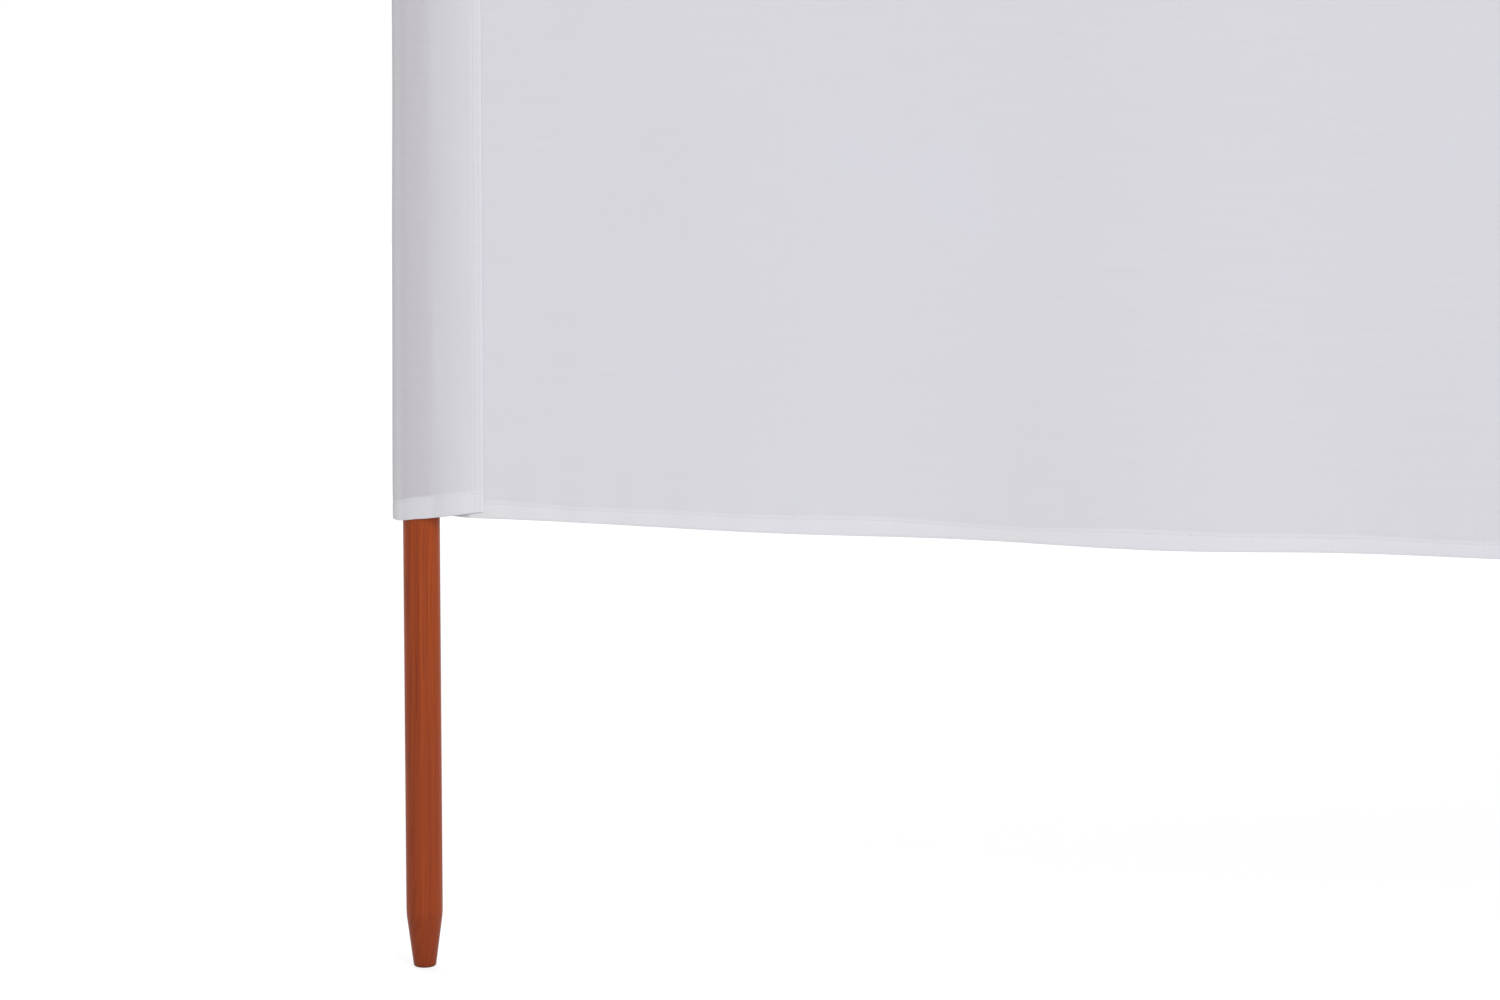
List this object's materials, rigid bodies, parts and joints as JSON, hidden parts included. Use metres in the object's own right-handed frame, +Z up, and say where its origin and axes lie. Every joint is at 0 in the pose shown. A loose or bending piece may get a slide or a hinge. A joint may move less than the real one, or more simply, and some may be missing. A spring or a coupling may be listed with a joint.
{
  "type": "beach windbreak",
  "caption": "Zigzag beach windbreak: pale hemmed cloth bays hung by sewn sleeves on round stained wooden poles with tapered feet.",
  "frame": {"origin": "centre of the flat tip of the middle pole", "axes": "+X along the run of bays, -Y towards the side that the sleeves are sewn on, +Z up the poles"},
  "size_m": [4.6584, 0.3626, 1.2],
  "materials": {
    "cloth": "matt plain weave",
    "stained_wood": "satin stain"
  },
  "bodies": {
    "root": {"pole_1": "stained_wood", "sleeve_1": "cloth", "pole_2": "stained_wood", "sleeve_2": "cloth", "pole_3": "stained_wood", "sleeve_3": "cloth", "pole_4": "stained_wood", "sleeve_4": "cloth", "pole_5": "stained_wood", "sleeve_5": "cloth", "panel_1": "cloth", "lower_hem_1": "cloth", "upper_hem_1": "cloth", "panel_2": "cloth", "lower_hem_2": "cloth", "upper_hem_2": "cloth", "panel_3": "cloth", "lower_hem_3": "cloth", "upper_hem_3": "cloth", "panel_4": "cloth", "lower_hem_4": "cloth", "upper_hem_4": "cloth"}
  },
  "joints": []
}
